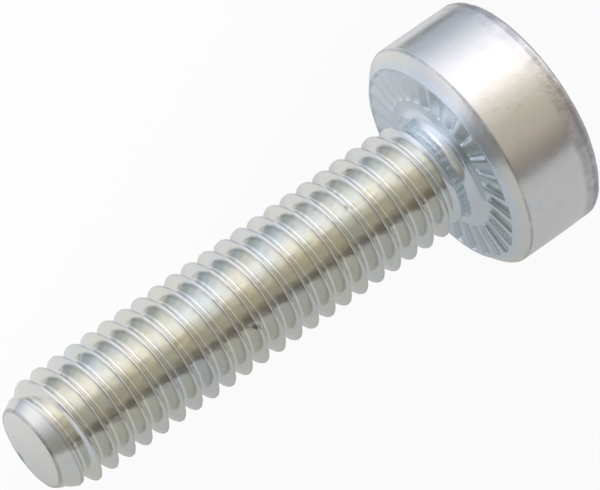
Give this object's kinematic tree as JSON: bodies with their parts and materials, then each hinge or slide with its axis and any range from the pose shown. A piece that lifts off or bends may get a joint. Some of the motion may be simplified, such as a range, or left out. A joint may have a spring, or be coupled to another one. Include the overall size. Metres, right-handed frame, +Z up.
{
  "type": "machine screw",
  "caption": "Low cylindrical head screw with a right-hand metric thread, locking teeth under the head and a six-lobe socket in the top.",
  "frame": {"origin": "centre of the bounding box on the level surface that the screw lies on", "axes": "+Z up; +X runs level along the screw from its point to its head; the screw's own axis rises 7.3 degrees above +X"},
  "size_m": [0.0306, 0.012, 0.0124],
  "materials": {
    "zinc": "bright zinc plate, clear passivated, faintly yellow"
  },
  "bodies": {
    "root": {"screw": "zinc"}
  },
  "joints": []
}
